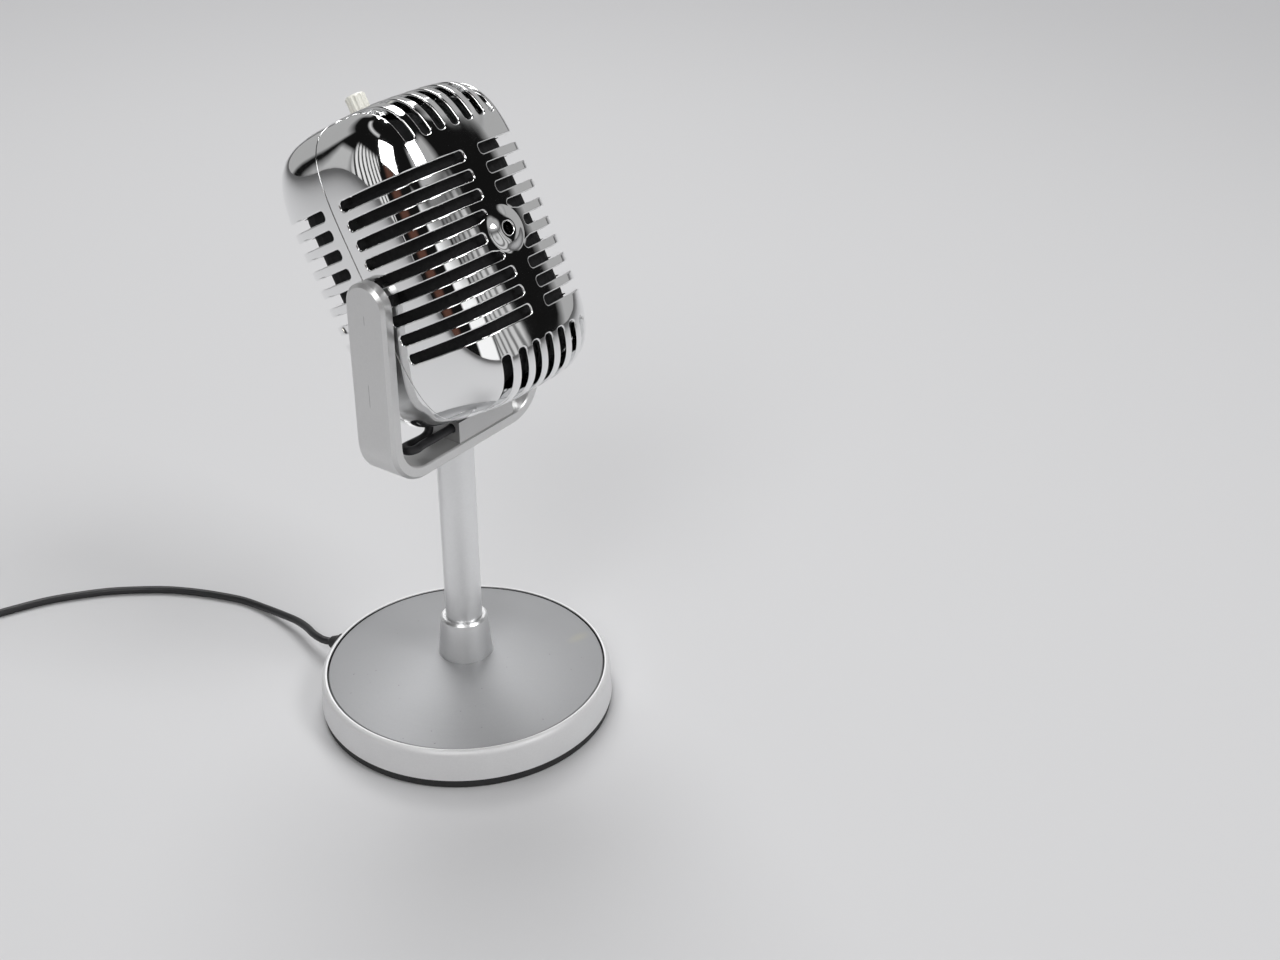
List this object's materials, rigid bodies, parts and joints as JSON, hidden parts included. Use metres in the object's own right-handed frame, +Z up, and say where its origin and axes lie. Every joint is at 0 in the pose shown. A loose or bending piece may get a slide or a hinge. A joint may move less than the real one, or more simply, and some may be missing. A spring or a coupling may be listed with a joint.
{
  "type": "desk microphone",
  "caption": "Desk microphone: slotted chrome head tilting in a U-shaped yoke on a round weighted base, with a fluted push switch on top and a thin cable to a small jack plug.",
  "frame": {"origin": "centre of the round base's underside, on the desk, on the stem's axis", "axes": "+Z up along the stem, head facing -Y, tilt axis along X"},
  "size_m": [0.1279, 0.2409, 0.1676],
  "materials": {
    "base_silver": "fine satin, pale silver, with a bright rounded rim",
    "plate_silver": "fine satin, slightly darker silver",
    "black_rubber": "matt black",
    "black_plastic": "matt black",
    "weight_steel": "plain turned steel",
    "screw_steel": "zinc plated",
    "stem_silver": "satin silver",
    "yoke_silver": "satin silver",
    "hood_silver": "satin silver, a little darker",
    "head_chrome": "bright chrome plating",
    "black_mesh": "matt black fine mesh",
    "nylon_white": "plain nylon",
    "capsule_metal": "plain",
    "board_green": "green lacquer",
    "ivory_plastic": "ivory, fluted",
    "cable_black": "black, low sheen",
    "contact_nickel": "nickel plated"
  },
  "bodies": {
    "stand": {"base_housing": "base_silver", "top_plate": "plate_silver", "rubber_foot": "black_rubber", "base_cover": "black_plastic", "weight_disc": "weight_steel", "base_screws": "screw_steel", "cable_grommet": "black_rubber", "stem_collar": "stem_silver", "stem_tube": "stem_silver", "stem_nut": "screw_steel", "yoke": "yoke_silver", "lead_hood": "hood_silver", "pivot_pins": "screw_steel", "pivot_washers": "black_plastic", "inner_lead": "cable_black", "head_lead": "cable_black", "cable": "cable_black", "cable_coil": "cable_black", "cable_tail": "cable_black", "cable_tie": "black_plastic", "plug_sleeve": "cable_black", "plug_core": "contact_nickel", "plug_rings": "black_plastic"},
    "head": {"front_shell": "head_chrome", "rear_shell": "head_chrome", "front_liner": "black_mesh", "rear_liner": "black_mesh", "core_plate": "black_plastic", "case_screw": "screw_steel", "pivot_bushes": "nylon_white", "capsule_boot": "black_rubber", "mic_capsule": "capsule_metal", "circuit_board": "board_green", "board_screws": "screw_steel", "switch_body": "black_plastic", "board_lead": "cable_black"},
    "button": {"switch_button": "ivory_plastic"}
  },
  "joints": [
    {"name": "head_tilt", "type": "hinge", "parent": "stand", "child": "head", "pos_m": [0, 0, 0.1248], "axis": [1, 0, 0], "range_deg": [-31.3, 48.7], "deforming": ["head_lead"]},
    {"name": "switch_press", "type": "slide", "parent": "head", "child": "button", "axis": [0, -0.4802, -0.8771], "range_m": [0, 0.002], "stiffness_N_per_m": 400, "springref_m": -0.001}
  ]
}
